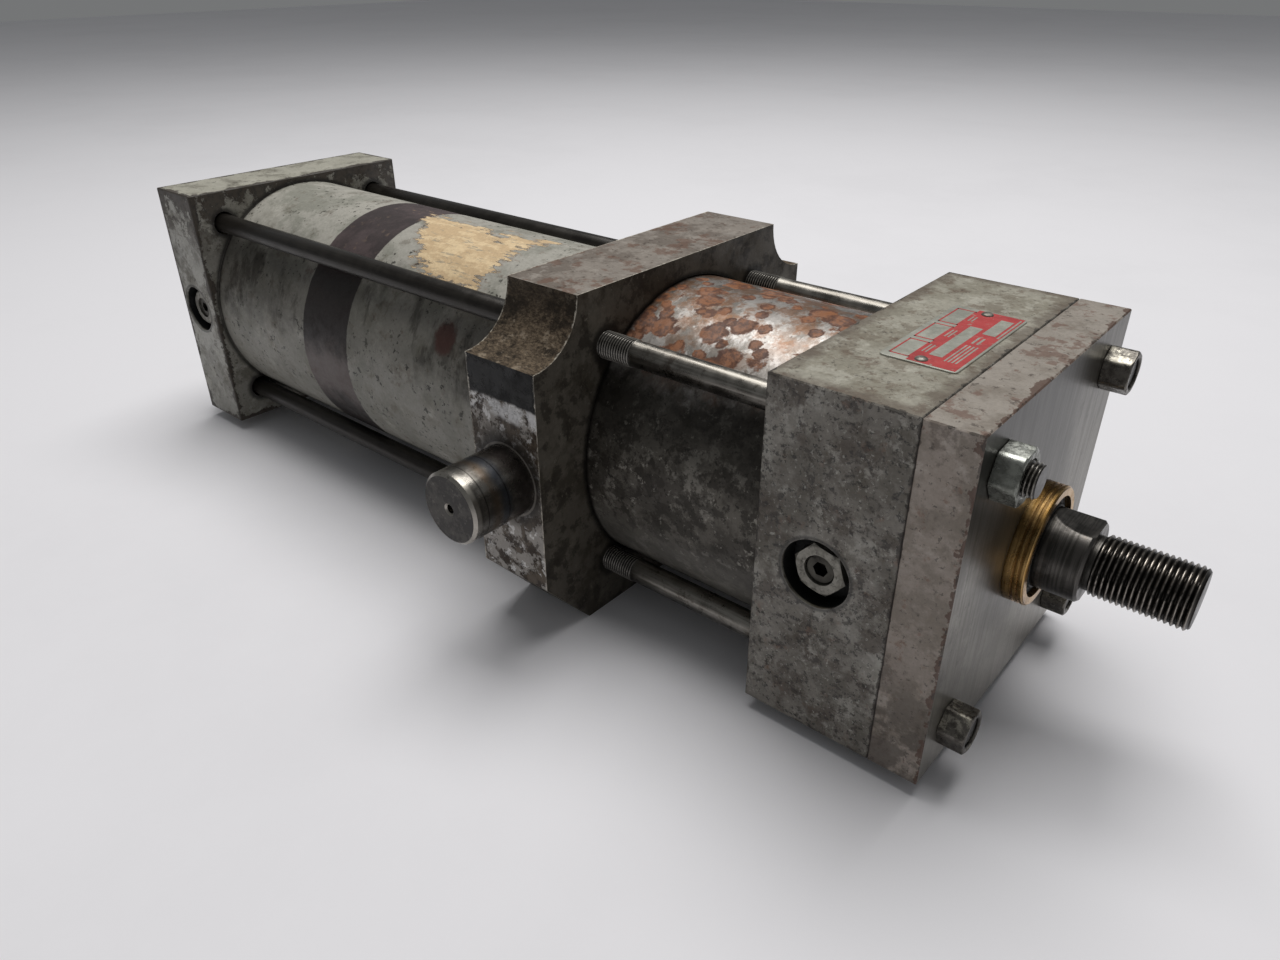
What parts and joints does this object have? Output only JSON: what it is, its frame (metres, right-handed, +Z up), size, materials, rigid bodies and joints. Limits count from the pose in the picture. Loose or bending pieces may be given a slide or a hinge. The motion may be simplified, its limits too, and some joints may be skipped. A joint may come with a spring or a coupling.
{
  "type": "pneumatic cylinder",
  "caption": "Square-head tie-rod air cylinder with a trunnion block part-way along its barrel, cushion screws in the end plates and a threaded rod end.",
  "frame": {"origin": "centre of the pilot where it leaves the retainer plate's front face, on the rod's axis", "axes": "+X along the rod, out of the cylinder; +Y towards the ports, away from the cushion screws; +Z up, towards the data plate"},
  "size_m": [0.4641, 0.2024, 0.1246],
  "materials": {
    "cap_paint": "chipped grey paint on steel with brown wear",
    "barrel_steel": "thin grey paint with a dark band, bare and rust-spotted in front of the block",
    "block_steel": "weathered dark steel with remains of pale paint on the sides",
    "pin_steel": "turned steel with a faint heat tint",
    "head_paint": "mottled grey-brown worn paint",
    "retainer_paint": "grey-brown worn paint, smooth dark front",
    "bronze": "turned bronze",
    "seal_rubber": "matt black",
    "rear_rod_steel": "dull dark steel",
    "front_rod_steel": "polished drawn steel",
    "dark_nut_steel": "dark oiled steel, scuffed",
    "zinc_plate": "bright zinc plate",
    "rod_steel": "dark ground steel",
    "piston_metal": "machined iron",
    "wear_ring_plastic": "filled plastic band",
    "gland_steel": "machined steel",
    "needle_steel": "dark machined steel",
    "data_plate_print": "thin aluminium plate printed red with blank silver fields"
  },
  "bodies": {
    "cylinder_body": {"rear_cap": "cap_paint", "barrel": "barrel_steel", "trunnion_block": "block_steel", "near_trunnion_pin": "pin_steel", "far_trunnion_pin": "pin_steel", "head": "head_paint", "retainer_plate": "retainer_paint", "rod_bushing": "bronze", "bushing_o_ring": "seal_rubber", "rod_seal": "seal_rubber", "rod_wiper": "seal_rubber", "rear_tie_rods": "rear_rod_steel", "front_tie_rods": "front_rod_steel", "rear_tie_rod_nuts": "dark_nut_steel", "dark_tie_rod_nuts": "dark_nut_steel", "bright_tie_rod_nut": "zinc_plate", "front_cushion_seal": "seal_rubber", "rear_cushion_seal": "seal_rubber", "front_barrel_gasket": "seal_rubber", "rear_barrel_gasket": "seal_rubber", "front_cushion_gland": "gland_steel", "rear_cushion_gland": "gland_steel", "needle_o_rings": "seal_rubber", "data_plate": "data_plate_print", "data_plate_pins": "gland_steel"},
    "seal_set": {"piston_seals": "seal_rubber", "piston_wear_ring": "wear_ring_plastic"},
    "rod_and_piston": {"piston_rod": "rod_steel", "piston": "piston_metal", "piston_o_ring": "seal_rubber", "front_cushion_sleeve": "rod_steel", "rear_cushion_spear": "rod_steel"},
    "front_needle": {"front_cushion_needle": "needle_steel"},
    "rear_needle": {"rear_cushion_needle": "needle_steel"}
  },
  "joints": [
    {"name": "rod_slide", "type": "slide", "parent": "cylinder_body", "child": "seal_set", "axis": [1, 0, 0], "range_m": [0, 0.2794]},
    {"name": "rod_turn", "type": "hinge", "parent": "seal_set", "child": "rod_and_piston", "pos_m": [0, 0, 0], "axis": [1, 0, 0], "continuous": true},
    {"name": "front_needle_turn", "type": "hinge", "parent": "cylinder_body", "child": "front_needle", "pos_m": [-0.0399, 0, 0], "axis": [0, -1, 0], "range_deg": [-405, 675]},
    {"name": "rear_needle_turn", "type": "hinge", "parent": "cylinder_body", "child": "rear_needle", "pos_m": [-0.3929, 0, 0], "axis": [0, -1, 0], "range_deg": [-405, 675]}
  ]
}
